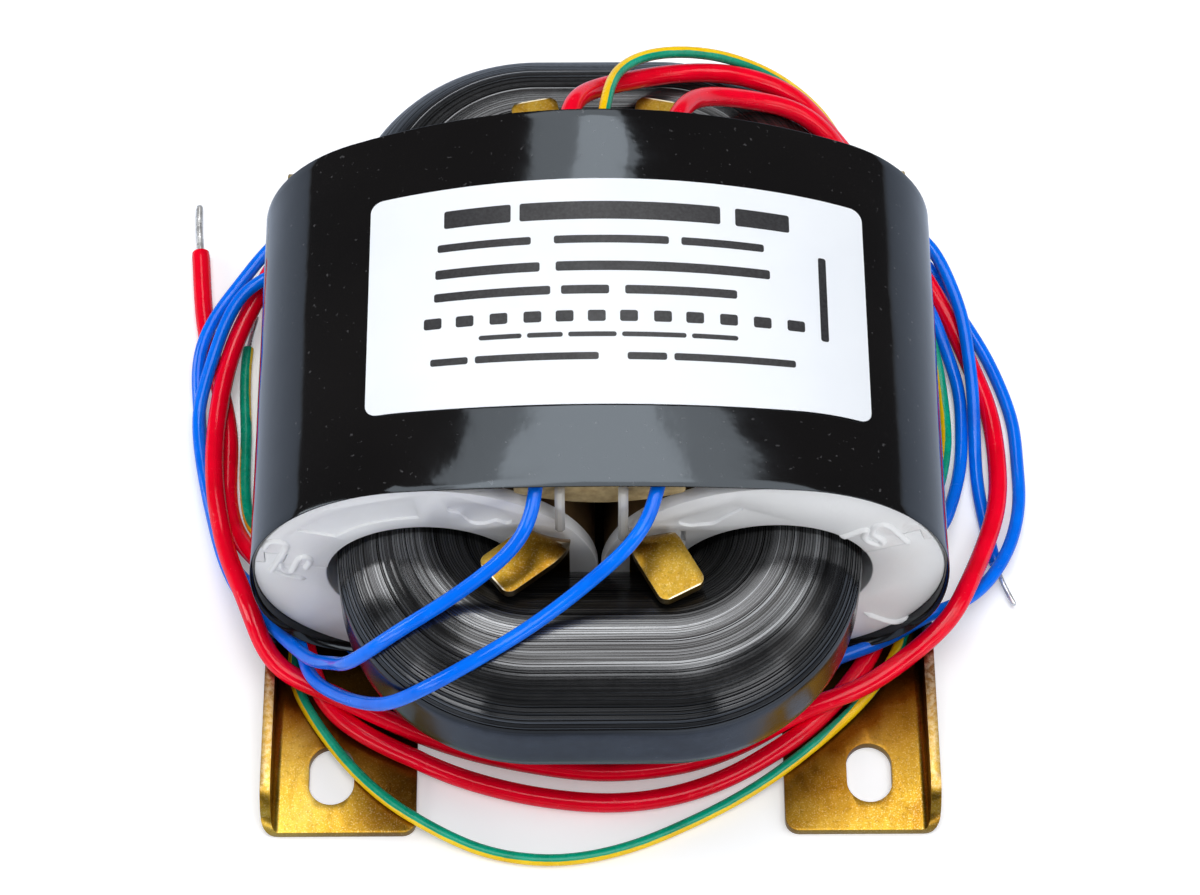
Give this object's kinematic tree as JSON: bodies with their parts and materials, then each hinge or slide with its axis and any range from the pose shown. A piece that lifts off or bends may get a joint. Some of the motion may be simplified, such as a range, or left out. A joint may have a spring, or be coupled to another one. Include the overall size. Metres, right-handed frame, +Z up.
{
  "type": "r-core transformer",
  "caption": "R-core transformer: coils on split bobbins over a closed wound-strip core, in a glossy film wrap with a label, on slotted feet, with loose coloured leads.",
  "frame": {"origin": "centre of the footprint, on the plane of the brackets' undersides", "axes": "+Z up, +Y along the coil axes to the end where the mains leads leave, +X across the coils"},
  "size_m": [0.1038, 0.0972, 0.0466],
  "materials": {
    "core_steel": "dark varnished strip edges",
    "bobbin_plastic": "moulded satin",
    "enamelled_copper": "enamelled wire",
    "copper_foil": "bright",
    "yellow_tape": "satin",
    "brown_tape": "satin",
    "crepe_paper": "creped",
    "clear_sleeve": "translucent",
    "black_film": "glossy",
    "label_film": "satin",
    "chromate_steel": "yellow chromate",
    "red_pvc": "satin",
    "blue_pvc": "satin",
    "green_yellow_pvc": "satin, with a yellow stripe",
    "tinned_wire": "tinned"
  },
  "bodies": {
    "root": {"r_core": "core_steel", "bobbin_left_upper": "bobbin_plastic", "bobbin_left_lower": "bobbin_plastic", "bobbin_right_upper": "bobbin_plastic", "bobbin_right_lower": "bobbin_plastic", "primary_left": "enamelled_copper", "primary_right": "enamelled_copper", "primary_tape_left": "yellow_tape", "primary_tape_right": "yellow_tape", "shield_foil_left": "copper_foil", "shield_foil_right": "copper_foil", "shield_tape_left": "yellow_tape", "shield_tape_right": "yellow_tape", "secondary_left": "enamelled_copper", "secondary_right": "enamelled_copper", "outer_tape_left": "brown_tape", "outer_tape_right": "brown_tape", "joint_roll": "crepe_paper", "start_sleeve_left": "clear_sleeve", "start_sleeve_right": "clear_sleeve", "film_wrap": "black_film", "label": "label_film", "bracket_left": "chromate_steel", "bracket_right": "chromate_steel", "lead_red_outer": "red_pvc", "lead_red_inner": "red_pvc", "lead_earth": "green_yellow_pvc", "lead_blue_single": "blue_pvc", "lead_blue_double": "blue_pvc", "tip_red_outer": "tinned_wire", "tip_red_inner": "tinned_wire", "tip_earth": "tinned_wire", "tip_blue_single": "tinned_wire", "tip_blue_double": "tinned_wire"}
  },
  "joints": []
}
